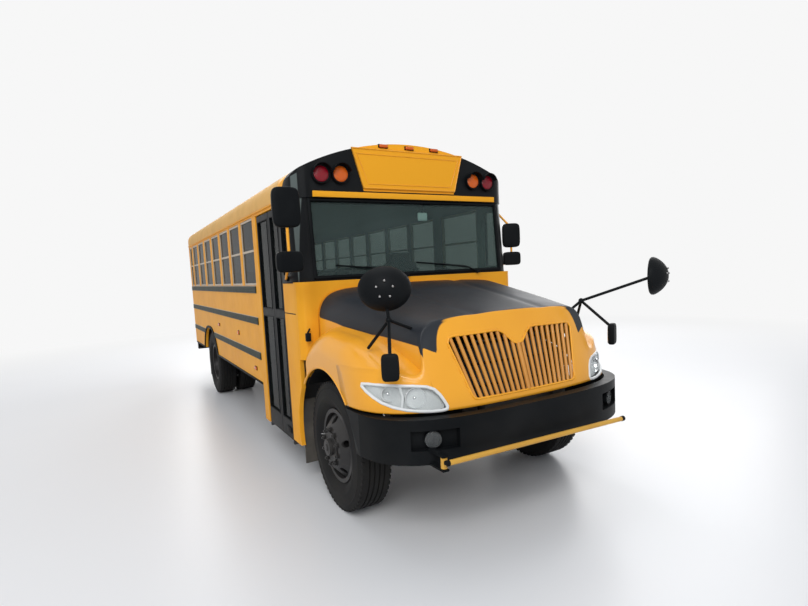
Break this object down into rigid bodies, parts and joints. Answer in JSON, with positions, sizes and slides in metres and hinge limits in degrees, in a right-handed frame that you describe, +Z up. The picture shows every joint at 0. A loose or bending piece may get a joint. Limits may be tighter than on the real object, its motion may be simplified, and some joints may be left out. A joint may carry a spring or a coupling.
{
  "type": "conventional school bus with tilting hood",
  "caption": "Full-size bonneted school bus with tilting hood, steered front wheels, twin rear wheels, folding entrance door, rear exit, stop arm and crossing arm.",
  "frame": {"origin": "middle of the bus's outline, on the ground under its tyres", "axes": "+Z up, the front faces -Y, the entrance door is on the -X side"},
  "size_m": [3.04, 8.85, 3.1608],
  "materials": {
    "bus_yellow": "gloss",
    "roof_paint": "gloss",
    "black_paint": "satin",
    "black_plastic": "satin",
    "chassis_black": "matt",
    "engine_iron": "cast",
    "exhaust_steel": "dull",
    "floor_rubber": "matt",
    "windshield_glass": "tinted",
    "side_glass": "tinted",
    "sash_metal": "satin",
    "seat_vinyl": "grained",
    "driver_fabric": "woven",
    "lamp_red": "clear",
    "lamp_clear": "clear",
    "mud_rubber": "matt",
    "wheel_paint": "satin",
    "tyre_rubber": "matt",
    "arm_yellow": "gloss",
    "stop_red": "gloss",
    "plate_steel": "dull"
  },
  "bodies": {
    "bus": {"chassis_frame": "chassis_black", "engine": "engine_iron", "front_axle": "chassis_black", "rear_axle": "chassis_black", "leaf_springs": "chassis_black", "driveshaft": "plate_steel", "fuel_tank": "chassis_black", "exhaust": "exhaust_steel", "floor": "floor_rubber", "left_side": "bus_yellow", "right_side": "bus_yellow", "roof": "roof_paint", "front_cap": "black_paint", "cowl": "bus_yellow", "rear_end": "bus_yellow", "windshield": "windshield_glass", "side_windows": "side_glass", "window_sashes": "sash_metal", "rub_rails": "black_paint", "front_bumper": "black_plastic", "rear_bumper": "black_paint", "dashboard": "black_plastic", "steering_wheel": "black_plastic", "driver_seat": "driver_fabric", "passenger_seats": "seat_vinyl", "side_mirrors": "black_plastic", "lamps": "lamp_red", "mud_flaps": "mud_rubber"},
    "hood": {"hood": "bus_yellow", "grille": "bus_yellow", "headlamps": "lamp_clear", "cross_view_mirrors": "black_plastic"},
    "crossing_arm": {"crossing_arm": "arm_yellow"},
    "stop_arm": {"stop_arm": "stop_red"},
    "door_front": {"door_leaf_front": "black_paint", "door_glass_front": "side_glass"},
    "door_rear": {"door_leaf_rear": "black_paint", "door_glass_rear": "side_glass"},
    "emergency_door": {"emergency_door": "bus_yellow", "emergency_glass": "side_glass"},
    "knuckle_left": {"knuckle_left": "chassis_black"},
    "knuckle_right": {"knuckle_right": "chassis_black"},
    "front_wheel_left": {"front_rim_left": "wheel_paint", "front_tyre_left": "tyre_rubber"},
    "front_wheel_right": {"front_rim_right": "wheel_paint", "front_tyre_right": "tyre_rubber"},
    "rear_wheels_left": {"rear_rims_left": "wheel_paint", "rear_tyres_left": "tyre_rubber"},
    "rear_wheels_right": {"rear_rims_right": "wheel_paint", "rear_tyres_right": "tyre_rubber"}
  },
  "joints": [
    {"name": "hood_tilt", "type": "hinge", "parent": "bus", "child": "hood", "pos_m": [0, -4.155, 0.962], "axis": [1, 0, 0], "range_deg": [0, 58]},
    {"name": "crossing_arm_swing", "type": "hinge", "parent": "bus", "child": "crossing_arm", "pos_m": [-0.88987, -4.36, 0.705], "axis": [0, 0, -1], "range_deg": [0, 90]},
    {"name": "stop_arm_swing", "type": "hinge", "parent": "bus", "child": "stop_arm", "pos_m": [1.256, -1.965, 1.56], "axis": [0, 0, -1], "range_deg": [0, 88]},
    {"name": "door_front_swing", "type": "hinge", "parent": "bus", "child": "door_front", "pos_m": [-1.193, -2.161, 1.465], "axis": [0, 0, 1], "range_deg": [0, 88]},
    {"name": "door_rear_swing", "type": "hinge", "parent": "bus", "child": "door_rear", "pos_m": [-1.193, -1.339, 1.465], "axis": [0, 0, -1], "range_deg": [0, 88]},
    {"name": "emergency_door_swing", "type": "hinge", "parent": "bus", "child": "emergency_door", "pos_m": [-0.417, 4.33, 1.82], "axis": [0, 0, 1], "range_deg": [0, 105]},
    {"name": "steer_left", "type": "hinge", "parent": "bus", "child": "knuckle_left", "pos_m": [0.93, -3.115, 0.532], "axis": [0, 0, 1], "range_deg": [-35, 35]},
    {"name": "steer_right", "type": "hinge", "parent": "bus", "child": "knuckle_right", "pos_m": [-0.93, -3.115, 0.532], "axis": [0, 0, 1], "range_deg": [-35, 35]},
    {"name": "front_left_spin", "type": "hinge", "parent": "knuckle_left", "child": "front_wheel_left", "pos_m": [1.023, -3.115, 0.532], "axis": [1, 0, 0], "continuous": true},
    {"name": "front_right_spin", "type": "hinge", "parent": "knuckle_right", "child": "front_wheel_right", "pos_m": [-1.023, -3.115, 0.532], "axis": [1, 0, 0], "continuous": true},
    {"name": "rear_left_spin", "type": "hinge", "parent": "bus", "child": "rear_wheels_left", "pos_m": [1.055, 2.397, 0.532], "axis": [1, 0, 0], "continuous": true},
    {"name": "rear_right_spin", "type": "hinge", "parent": "bus", "child": "rear_wheels_right", "pos_m": [-1.055, 2.397, 0.532], "axis": [1, 0, 0], "continuous": true}
  ],
  "couplings": [
    {"joint": "steer_right", "follows": "steer_left", "ratio": 1}
  ]
}
